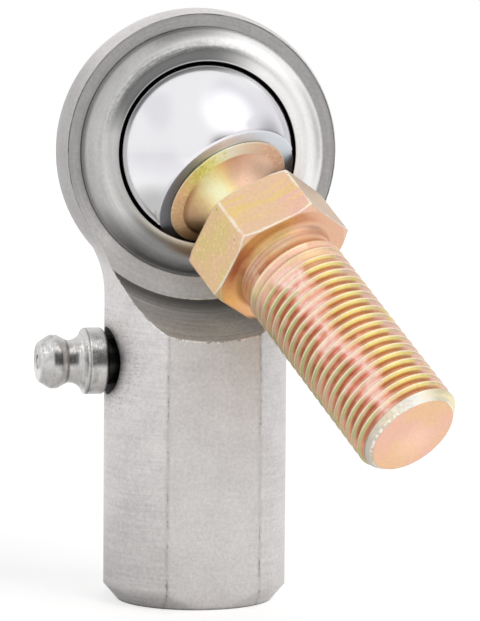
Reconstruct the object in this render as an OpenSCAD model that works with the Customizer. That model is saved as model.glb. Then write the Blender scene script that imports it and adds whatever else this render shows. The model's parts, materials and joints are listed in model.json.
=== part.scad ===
// Studded rod end: a shank with a female rod thread, a swaged race in its head, a ball in the race,
// a threaded stud through the ball and a drive-in grease fitting in the shank's side.
// Z runs up the shank from its base, and Y runs along the axis of the race.

/* [Shank] */
// Diameter of the round shank
shank_d = 22.2; // [21:0.1:25]
// Distance across the two wrench flats
flat_w = 19.05; // [17:0.05:20.5]
// Height of the ball's centre above the base
centre_h = 54.6; // [52:0.1:70]
// Base chamfer, measured inwards
base_chamfer_in = 1.65; // [0.5:0.05:2]
// Base chamfer, measured upwards
base_chamfer_up = 1.9; // [0.5:0.05:3]

/* [Rod thread] */
// Drilled diameter of the female rod thread
rod_drill_d = 11.5; // [9:0.1:12.5]
// Depth of the drilled wall, without the drill point
rod_drill_depth = 24; // [16:0.5:24.5]
// Angle of the drill point, in degrees
rod_point_angle = 118; // [90:1:140]
// Countersink at the mouth of the rod thread
rod_countersink = 0.45; // [0.3:0.05:0.5]

/* [Head] */
// Diameter of the head over the crown of its rim
head_d = 34.5; // [33:0.1:38]
// How far the rim's crown stands out from the edges of the faces
rim_crown = 0.65; // [0.3:0.05:1]
// Thickness of the head between its two faces
head_t = 6; // [5:0.1:7.5]
// Radius of the blend from the shank up to the rim
neck_blend_r = 12; // [9:0.5:16]
// How far inside the crown of the rim the blend ends
blend_in = 0.3; // [0.2:0.05:0.5]
// How far each turned face runs past the rim, into the neck
cut_margin = 0.6; // [0.3:0.05:1.2]
// Slope of the turned wall from the face out to the flats, in degrees
cut_slope = 34.5; // [25:0.5:45]

/* [Race] */
// Wall of the race around the ball
race_wall = 3.1; // [2.9:0.05:3.6]
// Radius of the race's rounded edges
race_round_r = 2.8; // [2.4:0.05:3]
// How far the lip of the race reaches in over the ball
lip_hold = 1.05; // [0.8:0.05:1.4]
// Width of the grease groove around the race
groove_w = 2; // [1:0.1:2.6]
// Depth of the grease groove around the race
groove_depth = 0.8; // [0.4:0.1:1.2]
// Diameter of the grease hole through the race
race_hole_d = 1.6; // [1:0.1:1.8]

/* [Ball] */
// Diameter of the ball
ball_d = 23.8; // [23:0.1:25]
// Width of the ball over its two flats
ball_w = 15; // [13:0.1:16]
// Diameter of the ball's bore
ball_bore_d = 10; // [8:0.1:11]
// Chamfer of the ball's bore
ball_bore_chamfer = 0.5; // [0.3:0.05:0.8]

/* [Stud] */
// Lean of the stud from the race's axis, in degrees
stud_lean = 44; // [40:0.5:45]
// Direction of the lean, in degrees from +X down towards -Z
stud_swing = 62; // [0:1:359]
// Turn of the hexagon about the stud's own axis, in degrees
hex_turn = 24.7; // [0:0.1:60]
// Diameter of the flange on the ball's flat
flange_d = 15.7; // [15:0.1:17]
// Thickness of the flange
flange_t = 0.4; // [0.3:0.05:0.6]
// Diameter of the neck where it meets the flange
neck_root_d = 12.8; // [11:0.1:14]
// Radius of the hollow between the flange and the hexagon
neck_round_r = 4.2; // [3.6:0.05:4.8]
// Distance across the flats of the hexagon
hex_w = 15.875; // [14:0.125:16]
// Length of the hexagon
hex_l = 7; // [5:0.1:9]
// Chamfer of the hexagon's corners
hex_chamfer = 0.45; // [0.2:0.05:0.8]
// Diameter of the plain shoulder between the hexagon and the thread
shoulder_d = 11.9; // [10:0.1:12.4]
// Length of the plain shoulder
shoulder_l = 2.5; // [1:0.1:5]
// Outside diameter of the stud's thread
stud_thread_d = 12.6; // [12.5:0.1:14]
// Length of the stud's thread, up to its end chamfer
stud_thread_l = 25.4; // [15:0.1:40]
// Distance between the thread's rings, which stand in for its turns
ring_pitch = 1.27; // [1:0.01:2]
// Depth of the grooves between the rings
ring_depth = 0.6; // [0.3:0.05:0.65]
// Width of each ring's crest
ring_land = 0.3; // [0.1:0.05:0.5]
// Grooves, next to the shoulder, over which the depth grows to its full value
runout_count = 4; // [1:1:6]
// Chamfer of the stud's end, measured inwards
stud_chamfer_in = 1.05; // [0.5:0.05:1.5]
// Chamfer of the stud's end, measured along it
stud_chamfer_along = 1.2; // [0.5:0.05:2]

/* [Grease fitting] */
// Height of the fitting's axis above the base
fitting_h = 29.3; // [29:0.1:32]
// Diameter of the spot-drilled recess around the fitting
recess_d = 8.2; // [8.1:0.1:9]
// Depth of the recess, measured from the side of the shank
recess_depth = 2.5; // [2:0.1:3.5]
// Diameter of the fitting's driven shank
fitting_shank_d = 5.6; // [4.8:0.1:6]
// Length of the driven shank below the floor of the recess
fitting_shank_l = 3.6; // [2.5:0.1:4.5]
// Diameter of the collar
collar_d = 8.06; // [7.6:0.02:8.06]
// Length of the collar
collar_l = 2.65; // [2:0.05:4]
// Chamfer of the collar's inner edge
collar_chamfer = 0.42; // [0.2:0.02:0.6]
// Length of the hollow flare from the collar to the neck
flare_l = 1.85; // [1.5:0.05:2.5]
// Diameter of the neck
fitting_neck_d = 5.16; // [4.6:0.02:5.6]
// Length of the neck
fitting_neck_l = 0.22; // [0.1:0.02:1]
// Diameter of the nozzle head
nozzle_d = 6.5; // [6:0.05:7]
// Length of the cone from the neck up to the head
nozzle_back_l = 1.13; // [0.6:0.01:1.6]
// Length of the head's straight side
nozzle_side_l = 1; // [0.5:0.05:2]
// Length of the cone from the head's side to the tip
nozzle_front_l = 1.4; // [1:0.05:2.5]
// Diameter of the flat tip
nozzle_tip_d = 4.7; // [4:0.05:5.4]
// Diameter of the bore that the check ball and spring lie in
valve_bore_d = 2.9; // [2.8:0.05:3.2]
// Diameter of the mouth at the tip
valve_mouth_d = 1.8; // [1.4:0.05:2]
// Depth of the mouth
valve_mouth_l = 0.35; // [0.25:0.05:0.6]
// Diameter of the check ball
check_ball_d = 2.4; // [2.2:0.05:2.6]
// Wire diameter of the check spring
spring_wire_d = 0.36; // [0.3:0.02:0.44]
// Mean diameter of the check spring
spring_mean_d = 1.9; // [1.7:0.05:2.1]
// Turns of the check spring
spring_turns = 8; // [5:1:12]
// Thickness of the crimped end that holds the spring
crimp_t = 0.6; // [0.4:0.05:1]
// Diameter of the hole in the crimped end
crimp_d = 1.4; // [1:0.05:1.6]

/* [Grease way] */
// Diameter of the drilled grease way
grease_d = 3; // [2:0.1:4]

/* [Clearances] */
// Radial clearance of the race in the head
race_fit = 0.03; // [0.02:0.01:0.08]
// Radial clearance of the ball in the race
ball_fit = 0.05; // [0.03:0.01:0.08]
// Radial clearance of the stud in the ball
stud_fit = 0.02; // [0.02:0.01:0.06]
// Gap between the stud's flange and the ball's flat
flange_gap = 0.1; // [0.05:0.01:0.2]
// Clearance of the stud's neck to the race's lip at full lean
neck_clear = 0.25; // [0.2:0.01:0.5]
// Clearance of the hexagon to the race at full lean
hex_clear = 0.45; // [0.3:0.01:1]
// Gap between the fitting's collar and the side of the shank
collar_gap = 0.25; // [0.1:0.01:0.6]
// Clearance of the check ball and the spring at their seats
valve_clear = 0.04; // [0.03:0.01:0.06]

/* [Hidden] */
$fn = 96;

// Overlap of cutting tools past the faces that they cut
past = 1;

shank_r = shank_d / 2;
head_r = head_d / 2;
face_y = head_t / 2;
flat_y = flat_w / 2;

// The rim's crown is an arc over the head's thickness
crown_r = (face_y * face_y + rim_crown * rim_crown) / (2 * rim_crown);

// The blend touches the side of the shank, and ends inside the crown of the rim
blend_end_r = head_r - blend_in;
blend_x = shank_r + neck_blend_r;
blend_drop = sqrt(pow(blend_end_r + neck_blend_r, 2) - blend_x * blend_x);
blend_share = blend_end_r / (blend_end_r + neck_blend_r);
blend_top_r = blend_x * blend_share;
blend_h = blend_drop * (1 - blend_share);

// The turned faces and their walls
cut_r = head_r + cut_margin;
cut_h = shank_r - face_y + past;
cut_mouth_r = cut_r + cut_h * tan(cut_slope);

// The race is built around the ball
ball_r = ball_d / 2;
race_r = ball_r + race_wall;
race_mid_r = race_r - race_round_r;
race_ball_r = ball_r + ball_fit;
lip_r = ball_r - lip_hold;
lip_y = face_y + sqrt(pow(race_round_r, 2) - pow(race_mid_r - lip_r, 2));

// Stations along the stud, measured from the ball's centre
flange_s = ball_w / 2 + flange_gap;
neck_s = flange_s + flange_t;
lip_from_axis = lip_r * cos(stud_lean) - lip_y * sin(stud_lean);
neck_r = lip_from_axis - neck_clear;
race_mid_s = face_y * cos(stud_lean) + race_mid_r * sin(stud_lean);
hex_s = race_mid_s + race_round_r + hex_clear;
shoulder_s = hex_s + hex_l;
thread_s = shoulder_s + shoulder_l;
chamfer_s = thread_s + stud_thread_l;
stud_end_s = chamfer_s + stud_chamfer_along;
hex_corner_r = hex_w / 2 / cos(30);
stud_thread_r = stud_thread_d / 2;

// Stations along the fitting, measured outwards from the shank's axis
recess_u = shank_r - recess_depth;
fitting_in_u = recess_u - fitting_shank_l;
collar_u = shank_r + collar_gap;
flare_u = collar_u + collar_l;
fitting_neck_u = flare_u + flare_l;
nozzle_back_u = fitting_neck_u + fitting_neck_l;
nozzle_side_u = nozzle_back_u + nozzle_back_l;
nozzle_front_u = nozzle_side_u + nozzle_side_l;
nozzle_tip_u = nozzle_front_u + nozzle_front_l;
collar_r = collar_d / 2;
fitting_neck_r = fitting_neck_d / 2;
flare_rise = collar_r - fitting_neck_r;
flare_r = (flare_l * flare_l + flare_rise * flare_rise) / (2 * flare_rise);

// The check ball rests behind the mouth's edge, and the spring between it and the crimp
check_ball_r = check_ball_d / 2;
seat_reach = sqrt(pow(check_ball_r + valve_clear, 2) - pow(valve_mouth_d / 2, 2));
check_ball_u = nozzle_tip_u - valve_mouth_l - seat_reach;
spring_r = spring_mean_d / 2;
wire_r = spring_wire_d / 2;
spring_end_reach = sqrt(pow(check_ball_r + wire_r + valve_clear, 2) - spring_r * spring_r);
spring_out_u = check_ball_u - spring_end_reach;
spring_in_u = fitting_in_u + crimp_t + wire_r + valve_clear;
spring_steps = 14;
wire_sides = 6;

// A ring whose section is a circle
module torus(ring_r, tube_r) {
    rotate_extrude()
        translate([ring_r, 0])
            circle(r = tube_r);
}

// Local Z along the race's axis, from the ball's centre towards the front
module along_race() {
    translate([0, 0, centre_h])
        rotate([90, 0, 0])
            children();
}

// Local Z along the stud, from the ball's centre
module along_stud() {
    translate([0, 0, centre_h])
        rotate([0, stud_swing, 0])
            rotate([0, 0, stud_lean])
                rotate([90, 0, 0])
                    children();
}

// Local Z along the fitting, outwards from the shank's axis
module along_fitting() {
    translate([0, 0, fitting_h])
        rotate([0, -90, 0])
            children();
}

// Round bar with a chamfered base, two flats, and a flare at its top that runs into the rim
module shank_blank() {
    blend_z = centre_h - blend_drop;
    base_r = shank_r - base_chamfer_in;
    intersection() {
        difference() {
            rotate_extrude()
                polygon([[0, 0], [base_r, 0], [shank_r, base_chamfer_up], [shank_r, blend_z],
                         [blend_top_r, blend_z], [blend_top_r, blend_z + blend_h], [0, blend_z + blend_h]]);
            translate([0, 0, blend_z])
                torus(blend_x, neck_blend_r);
        }
        translate([-head_r, -flat_y, -past])
            cube([head_d, flat_w, centre_h]);
    }
}

// Disc with a crowned rim
module head_disc() {
    along_race()
        intersection() {
            cylinder(h = head_t, r = head_r + past, center = true);
            torus(head_r - crown_r, crown_r);
        }
}

// One turned face with its sloping wall
module face_cut() {
    translate([0, 0, face_y])
        cylinder(h = cut_h, r1 = cut_r, r2 = cut_mouth_r);
}

// Drilled hole for the rod, with its countersink and drill point
module rod_hole() {
    drill_r = rod_drill_d / 2;
    point_h = drill_r / tan(rod_point_angle / 2);
    translate([0, 0, -past])
        cylinder(h = rod_drill_depth + past, r = drill_r);
    translate([0, 0, -past])
        cylinder(h = past + rod_countersink, r1 = drill_r + rod_countersink + past, r2 = drill_r);
    translate([0, 0, rod_drill_depth])
        cylinder(h = point_h, r1 = drill_r, r2 = 0);
}

// Recess and hole for the fitting, and the way from there to the race
module grease_way() {
    along_fitting() {
        translate([0, 0, recess_u])
            cylinder(h = recess_depth + past, d = recess_d);
        translate([0, 0, fitting_in_u])
            cylinder(h = fitting_shank_l + past, d = fitting_shank_d);
        cylinder(h = fitting_in_u + past, d = grease_d);
    }
    translate([0, 0, rod_drill_depth])
        cylinder(h = centre_h - rod_drill_depth, d = grease_d);
}

module body() {
    color([0.76, 0.75, 0.73])
        difference() {
            union() {
                shank_blank();
                head_disc();
            }
            along_race() {
                face_cut();
                mirror([0, 0, 1])
                    face_cut();
                cylinder(h = shank_d, r = race_r, center = true);
            }
            rod_hole();
            grease_way();
        }
}

module race() {
    outer_r = race_r - race_fit;
    color([0.7, 0.69, 0.67])
        along_race()
            difference() {
                union() {
                    cylinder(h = head_t, r = outer_r, center = true);
                    for (side = [-1, 1])
                        translate([0, 0, side * face_y])
                            torus(outer_r - race_round_r, race_round_r);
                }
                sphere(r = race_ball_r);
                cylinder(h = shank_d, r = lip_r, center = true);
                difference() {
                    cylinder(h = groove_w, r = race_r + past, center = true);
                    cylinder(h = groove_w, r = outer_r - groove_depth, center = true);
                }
                rotate([90, 0, 0])
                    cylinder(h = race_r + past, d = race_hole_d);
            }
}

module ball() {
    bore_r = ball_bore_d / 2;
    color([0.93, 0.93, 0.95])
        along_stud()
            difference() {
                intersection() {
                    sphere(r = ball_r);
                    cylinder(h = ball_w, r = ball_d, center = true);
                }
                cylinder(h = ball_d, r = bore_r, center = true);
                for (side = [0, 1])
                    mirror([0, 0, side])
                        translate([0, 0, ball_w / 2 - ball_bore_chamfer])
                            cylinder(h = ball_bore_chamfer + past, r1 = bore_r,
                                     r2 = bore_r + ball_bore_chamfer + past);
            }
}

// Hexagon with turned corners
module stud_hex() {
    edge_r = hex_corner_r - 2 * hex_chamfer;
    turned_r = hex_corner_r + hex_chamfer;
    slope_h = (turned_r - edge_r) / 2;
    intersection() {
        cylinder(h = hex_l, r = hex_corner_r, $fn = 6);
        rotate_extrude()
            polygon([[0, 0], [edge_r, 0], [turned_r, slope_h], [turned_r, hex_l - slope_h],
                     [edge_r, hex_l], [0, hex_l]]);
    }
}

// Hollow neck, from inside the flange to inside the hexagon
module stud_neck() {
    root_r = neck_root_d / 2;
    hollow_r = neck_r + neck_round_r;
    waist_s = neck_s + sqrt(pow(neck_round_r, 2) - pow(hollow_r - root_r, 2));
    start_s = neck_s - flange_t / 2;
    difference() {
        translate([0, 0, start_s])
            cylinder(h = hex_s + past - start_s, r = root_r);
        translate([0, 0, waist_s])
            torus(hollow_r, neck_round_r);
    }
}

// Threaded length, its turns as rings, with a chamfered end
module stud_thread() {
    end_r = stud_thread_r - stud_chamfer_in;
    notch_w = ring_pitch - ring_land;
    notch_count = floor((stud_thread_l - ring_land) / ring_pitch);
    notches = [for (i = [0 : notch_count - 1])
               let (s = thread_s + i * ring_pitch + ring_land)
               let (root_r = stud_thread_r - ring_depth * min(1, (i + 1) / runout_count))
               each [[stud_thread_r, s], [root_r, s + notch_w / 2], [stud_thread_r, s + notch_w]]];
    rotate_extrude()
        polygon(concat([[0, thread_s], [stud_thread_r, thread_s]], notches,
                       [[stud_thread_r, chamfer_s], [end_r, stud_end_s], [0, stud_end_s]]));
}

module stud() {
    color([0.85, 0.7, 0.45])
        along_stud() {
            translate([0, 0, -ball_w / 2])
                cylinder(h = ball_w / 2 + neck_s - flange_t / 2, r = ball_bore_d / 2 - stud_fit);
            translate([0, 0, flange_s])
                cylinder(h = flange_t, d = flange_d);
            stud_neck();
            translate([0, 0, hex_s])
                rotate([0, 0, hex_turn])
                    stud_hex();
            translate([0, 0, shoulder_s - past])
                cylinder(h = shoulder_l + 2 * past, d = shoulder_d);
            stud_thread();
        }
}

// Outside of the fitting, from its driven shank out to its tip
module fitting_blank() {
    driven_r = fitting_shank_d / 2;
    collar_edge_r = collar_r - 2 * collar_chamfer;
    nozzle_r = nozzle_d / 2;
    translate([0, 0, fitting_in_u])
        cylinder(h = collar_u + collar_chamfer - fitting_in_u, r = driven_r);
    difference() {
        rotate_extrude()
            polygon([[0, collar_u], [collar_edge_r, collar_u], [collar_r, collar_u + collar_chamfer],
                     [collar_r, fitting_neck_u], [fitting_neck_r, fitting_neck_u],
                     [fitting_neck_r, nozzle_back_u], [nozzle_r, nozzle_side_u], [nozzle_r, nozzle_front_u],
                     [nozzle_tip_d / 2, nozzle_tip_u], [0, nozzle_tip_u]]);
        difference() {
            translate([0, 0, fitting_neck_u])
                torus(fitting_neck_r + flare_r, flare_r);
            translate([0, 0, fitting_neck_u])
                cylinder(h = flare_r + past, r = fitting_neck_r + 2 * flare_r + past);
        }
    }
}

module grease_fitting() {
    color([0.78, 0.78, 0.77])
        along_fitting()
            difference() {
                fitting_blank();
                translate([0, 0, fitting_in_u + crimp_t])
                    cylinder(h = nozzle_tip_u - valve_mouth_l - fitting_in_u - crimp_t, d = valve_bore_d);
                translate([0, 0, nozzle_tip_u - valve_mouth_l - past])
                    cylinder(h = valve_mouth_l + 2 * past, d = valve_mouth_d);
                translate([0, 0, fitting_in_u - past])
                    cylinder(h = crimp_t + 2 * past, d = crimp_d);
            }
}

module check_ball() {
    color([0.8, 0.8, 0.82])
        along_fitting()
            translate([0, 0, check_ball_u])
                sphere(r = check_ball_r);
}

// One ring of points around the wire, at a share of the spring's length
function wire_ring(share) =
    let (turn = 360 * spring_turns * share)
    let (u = spring_in_u + (spring_out_u - spring_in_u) * share)
    [for (k = [0 : wire_sides - 1])
        let (a = 360 * k / wire_sides)
        let (r = spring_r + wire_r * cos(a))
        [r * cos(turn), r * sin(turn), u + wire_r * sin(a)]];

module check_spring() {
    last = spring_turns * spring_steps;
    points = [for (i = [0 : last]) each wire_ring(i / last)];
    sides = [for (i = [0 : last - 1], k = [0 : wire_sides - 1])
        let (next = (k + 1) % wire_sides)
        [i * wire_sides + k, (i + 1) * wire_sides + k, (i + 1) * wire_sides + next, i * wire_sides + next]];
    first_cap = [for (k = [0 : wire_sides - 1]) k];
    last_cap = [for (k = [wire_sides - 1 : -1 : 0]) last * wire_sides + k];
    color([0.6, 0.6, 0.6])
        along_fitting()
            polyhedron(points = points, faces = concat([first_cap], sides, [last_cap]), convexity = 10);
}

body();
race();
ball();
stud();
grease_fitting();
check_ball();
check_spring();
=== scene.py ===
import json
import math
from types import SimpleNamespace
import bpy
from mathutils import Matrix, Vector

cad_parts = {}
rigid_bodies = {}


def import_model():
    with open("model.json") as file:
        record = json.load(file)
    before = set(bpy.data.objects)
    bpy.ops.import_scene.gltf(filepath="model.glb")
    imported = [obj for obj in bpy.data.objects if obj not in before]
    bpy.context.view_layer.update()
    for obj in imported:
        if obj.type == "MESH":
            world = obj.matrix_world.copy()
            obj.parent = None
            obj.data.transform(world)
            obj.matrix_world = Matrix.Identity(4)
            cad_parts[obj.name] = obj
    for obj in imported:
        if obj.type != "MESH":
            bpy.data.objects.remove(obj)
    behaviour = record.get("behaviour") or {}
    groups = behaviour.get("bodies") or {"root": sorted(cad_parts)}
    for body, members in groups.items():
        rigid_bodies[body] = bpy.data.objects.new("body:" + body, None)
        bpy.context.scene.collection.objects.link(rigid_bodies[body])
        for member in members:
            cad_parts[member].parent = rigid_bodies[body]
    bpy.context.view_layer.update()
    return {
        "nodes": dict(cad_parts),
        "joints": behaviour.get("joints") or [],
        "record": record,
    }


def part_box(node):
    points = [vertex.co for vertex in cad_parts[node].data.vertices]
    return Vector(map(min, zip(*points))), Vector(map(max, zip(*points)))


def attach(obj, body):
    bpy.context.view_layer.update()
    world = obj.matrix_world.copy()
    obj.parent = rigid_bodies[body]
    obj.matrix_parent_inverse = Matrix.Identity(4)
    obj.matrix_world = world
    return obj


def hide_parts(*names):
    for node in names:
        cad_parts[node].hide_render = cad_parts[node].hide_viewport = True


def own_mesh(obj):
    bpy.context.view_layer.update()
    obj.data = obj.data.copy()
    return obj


# the start-up scene goes first, so that only the rod end is measured
bpy.ops.object.select_all(action="SELECT")
bpy.ops.object.delete()
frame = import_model()
print("frame loaded:", ", ".join(frame["nodes"]))

mm = 0.001
mergeGap = 0.0005
scene = bpy.context.scene
joints = {joint["name"]: joint for joint in frame["joints"]}
mounts = {mount["name"]: mount for mount in frame["record"]["mounts"]}
ballCentre = Vector(joints["stud_lean"]["pos_m"])
studAxis = Vector(mounts["stud_thread"]["axis"]).normalized()
leanAxis = Vector(joints["stud_lean"]["axis"]).normalized()
fittingHeight = mounts["grease_nozzle"]["pos_m"][2]
fittingDrop = (fittingHeight - ballCentre.z) / mm


def axesMatrix(xAxis, yAxis, zAxis, place):
    # from a piece's own millimetres to its place on the part
    turn = Matrix((xAxis, yAxis, zAxis)).transposed().to_4x4()
    return Matrix.Translation(place) @ turn @ Matrix.Scale(mm, 4)


raceFrame = axesMatrix((1, 0, 0), (0, 0, 1), (0, -1, 0), ballCentre)
studFrame = axesMatrix(leanAxis.cross(studAxis), leanAxis, studAxis, ballCentre)
fittingFrame = axesMatrix((0, 0, 1), (0, 1, 0), (-1, 0, 0), (0, 0, fittingHeight))
shankFrame = Matrix.Scale(mm, 4)


# modelling helpers, all in millimetres until a piece is set in place

def arc(centre, radius, start, end, count):
    # points (r, z) along a round stretch, angles in degrees from +r towards +z
    points = []
    for i in range(count + 1):
        angle = math.radians(start + (end - start) * i / count)
        points.append((centre[0] + radius * math.cos(angle), centre[1] + radius * math.sin(angle)))
    return points


def drawOutline(name, outline):
    # one vertex, extruded from point to point in the XZ plane
    bpy.ops.object.select_all(action="DESELECT")
    bpy.ops.mesh.primitive_plane_add(size=1)
    piece = bpy.context.object
    piece.name = name
    bpy.ops.object.mode_set(mode="EDIT")
    bpy.ops.mesh.select_all(action="SELECT")
    bpy.ops.mesh.merge(type="CENTER")
    bpy.ops.transform.translate(value=(outline[0][0], 0, outline[0][1]))
    for (r0, z0), (r1, z1) in zip(outline, outline[1:]):
        bpy.ops.mesh.extrude_region_move(TRANSFORM_OT_translate={"value": (r1 - r0, 0, z1 - z0)})
    bpy.ops.object.mode_set(mode="OBJECT")
    return piece


def cleanMesh(piece):
    bpy.ops.object.select_all(action="DESELECT")
    piece.select_set(True)
    bpy.context.view_layer.objects.active = piece
    bpy.ops.object.mode_set(mode="EDIT")
    bpy.ops.mesh.select_all(action="SELECT")
    bpy.ops.mesh.remove_doubles(threshold=mergeGap)
    bpy.ops.mesh.normals_make_consistent(inside=False)
    bpy.ops.object.mode_set(mode="OBJECT")


def lathe(name, outline, steps):
    # an outline turned once around Z; one that starts and ends at the same point makes a ring
    piece = drawOutline(name, outline)
    bpy.ops.object.mode_set(mode="EDIT")
    bpy.ops.mesh.select_all(action="SELECT")
    bpy.ops.mesh.spin(steps=steps, angle=2 * math.pi, center=(0, 0, 0), axis=(0, 0, 1))
    bpy.ops.object.mode_set(mode="OBJECT")
    cleanMesh(piece)
    return piece


def applyModifier(piece, kind, **settings):
    bpy.ops.object.select_all(action="DESELECT")
    piece.select_set(True)
    bpy.context.view_layer.objects.active = piece
    modifier = piece.modifiers.new("step", kind)
    for setting, value in settings.items():
        setattr(modifier, setting, value)
    bpy.ops.object.modifier_apply(modifier=modifier.name)


def combine(piece, tool, operation):
    applyModifier(piece, "BOOLEAN", operation=operation, solver="EXACT", object=tool)
    bpy.data.objects.remove(tool)


def setInPlace(piece, matrix, sharpAngle):
    piece.matrix_world = matrix
    bpy.ops.object.select_all(action="DESELECT")
    piece.select_set(True)
    bpy.context.view_layer.objects.active = piece
    bpy.ops.object.transform_apply(location=True, rotation=True, scale=True)
    bpy.ops.object.shade_smooth_by_angle(angle=math.radians(sharpAngle))


def threadBar(name, rootR, crestR, pitch, start, end, steps=72):
    # a solid bar with a right-hand thread, cut square at start and end
    rootFlat, flank, crestFlat = 0.20 * pitch, 0.32 * pitch, 0.16 * pitch
    round1, round2 = 0.025 * pitch, 0.06 * (crestR - rootR)
    z1 = rootFlat
    z2 = z1 + flank
    z3 = z2 + crestFlat
    outline = [(rootR, 0), (rootR, z1), (crestR - round2, z2 - round1), (crestR, z2 + round1),
               (crestR, z3 - round1), (crestR - round2, z3 + round1), (rootR, pitch)]
    turns = math.ceil((end - start) / pitch) + 2
    piece = drawOutline(name, outline)
    piece.location.z = start - 1.5 * pitch
    bpy.ops.object.transform_apply(location=True, rotation=False, scale=False)
    applyModifier(piece, "SCREW", axis="Z", angle=2 * math.pi, screw_offset=pitch, iterations=turns,
                  steps=steps, render_steps=steps, use_merge_vertices=True, merge_threshold=mergeGap)
    cleanMesh(piece)
    for height, side in ((start, -1), (end, 1)):
        bpy.ops.object.mode_set(mode="EDIT")
        bpy.ops.mesh.select_all(action="SELECT")
        bpy.ops.mesh.bisect(plane_co=(0, 0, height), plane_no=(0, 0, side), use_fill=True, clear_outer=True)
        bpy.ops.object.mode_set(mode="OBJECT")
    cleanMesh(piece)
    return piece


def finishPiece(piece, node, body):
    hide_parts(node)
    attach(piece, body)


# the body: the solid's own shape with the rod thread cut into its hole
# the thread's places are from the foot, the finish's (faceDepth and on) from the ball's centre

bodySizes = dict(threadPitch=1.27, threadRootR=5.5, threadCrestR=6.35, threadStart=-1.0, threadDepth=20.5,
                 faceDepth=3.0, faceR=16.54, wallR=17.85, wallSlope=34.5, flatDepth=9.525, flatEdge=5.70,
                 shankR=11.1, neckZ=-16.5, footZ=-54.6)


def makeBody(b):
    bpy.ops.object.select_all(action="DESELECT")
    body = frame["nodes"]["body"].copy()
    body.data = body.data.copy()
    body.name = "bodyShell"
    scene.collection.objects.link(body)
    body.parent = None
    body.matrix_world = Matrix.Scale(1 / mm, 4)
    body.select_set(True)
    bpy.context.view_layer.objects.active = body
    bpy.ops.object.transform_apply(location=True, rotation=True, scale=True)
    bpy.ops.mesh.customdata_custom_splitnormals_clear()
    cleanMesh(body)
    thread = threadBar("rodThread", b["threadRootR"], b["threadCrestR"], b["threadPitch"],
                       b["threadStart"], b["threadDepth"])
    combine(body, thread, "DIFFERENCE")
    setInPlace(body, shankFrame, sharpAngle=18)
    return body


body = makeBody(bodySizes)
finishPiece(body, "body", "shank")
print("body:", len(body.data.polygons), "faces")


# the race: a rounded ring with its lips turned in over the ball

ringSizes = dict(outerR=14.97, halfWidth=3.0, roundR=2.8, lipR=10.85, ballR=11.95, lipRound=0.16, steps=192)


def makeRace(r):
    midR = r["outerR"] - r["roundR"]
    tubeIn = midR - r["lipR"] - r["lipRound"]
    lipAngle = 180 - math.degrees(math.acos(tubeIn / (r["roundR"] - r["lipRound"])))
    lipZ = r["halfWidth"] + (r["roundR"] - r["lipRound"]) * math.sin(math.radians(lipAngle))
    lipCentre = (r["lipR"] + r["lipRound"], lipZ)
    seatZ = math.sqrt(r["ballR"] ** 2 - r["lipR"] ** 2)
    seatAngle = math.degrees(math.atan2(seatZ, r["lipR"]))
    front = arc((midR, r["halfWidth"]), r["roundR"], 0, lipAngle, count=28)
    lip = arc(lipCentre, r["lipRound"], lipAngle, 180, count=4)
    half = front + lip[1:]
    seat = arc((0, 0), r["ballR"], seatAngle, -seatAngle, count=20)
    back = [(reach, -z) for reach, z in reversed(half)]
    race = lathe("raceRing", half + seat + back + [half[0]], r["steps"])
    setInPlace(race, raceFrame, sharpAngle=35)
    return race


race = makeRace(ringSizes)
finishPiece(race, "race", "race")
print("race:", len(race.data.polygons), "faces")


# the ball: a polished sphere with two flats and a bore

ballSizes = dict(radius=11.9, halfWidth=7.5, boreR=5.0, boreChamfer=0.5, edgeRound=0.2, steps=192)


def makeBall(b):
    flatR = math.sqrt(b["radius"] ** 2 - b["halfWidth"] ** 2)
    flatAngle = math.degrees(math.atan2(b["halfWidth"], flatR))
    edgeAngle = flatAngle - math.degrees(b["edgeRound"] / b["radius"])
    surface = arc((0, 0), b["radius"], -edgeAngle, edgeAngle, count=64)
    mouth = b["boreR"] + b["boreChamfer"]
    shoulder = b["halfWidth"] - b["boreChamfer"]
    outline = [(flatR - b["edgeRound"], -b["halfWidth"])] + surface
    outline += [(flatR - b["edgeRound"], b["halfWidth"]), (mouth, b["halfWidth"])]
    outline += [(b["boreR"], shoulder), (b["boreR"], -shoulder), (mouth, -b["halfWidth"])]
    ball = lathe("polishedBall", outline + [outline[0]], b["steps"])
    setInPlace(ball, studFrame, sharpAngle=30)
    return ball


ball = makeBall(ballSizes)
finishPiece(ball, "ball", "ball")
print("ball:", len(ball.data.polygons), "faces")


# the stud: tail, flange, hollow neck, hexagon and a real right-hand thread

studSizes = dict(tailR=4.98, tailZ=-7.5, tailChamfer=0.3, flangeZ=7.6, rimFront=7.80, flangeFront=8.18,
                 flangeR=7.85, edge=0.1,
                 neckR=3.767, neckRound=4.2, neckRootR=6.4, hexZ=13.883, hexLength=7.0, hexWidth=15.875,
                 hexTurn=24.7, hexChamfer=0.45, hexEdge=0.2, hexRoundIn=0.25, hexRoundUp=0.04,
                 shoulderR=5.95, shoulderFillet=0.9, shoulderLength=2.5, threadR=6.3, rootR=5.6, pitch=1.27,
                 threadLength=25.4, runout=5.2, endIn=1.05, endAlong=1.2, endSoftIn=0.12, endSoftAlong=0.14,
                 spare=0.2, overlap=1.0, steps=128)


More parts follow.
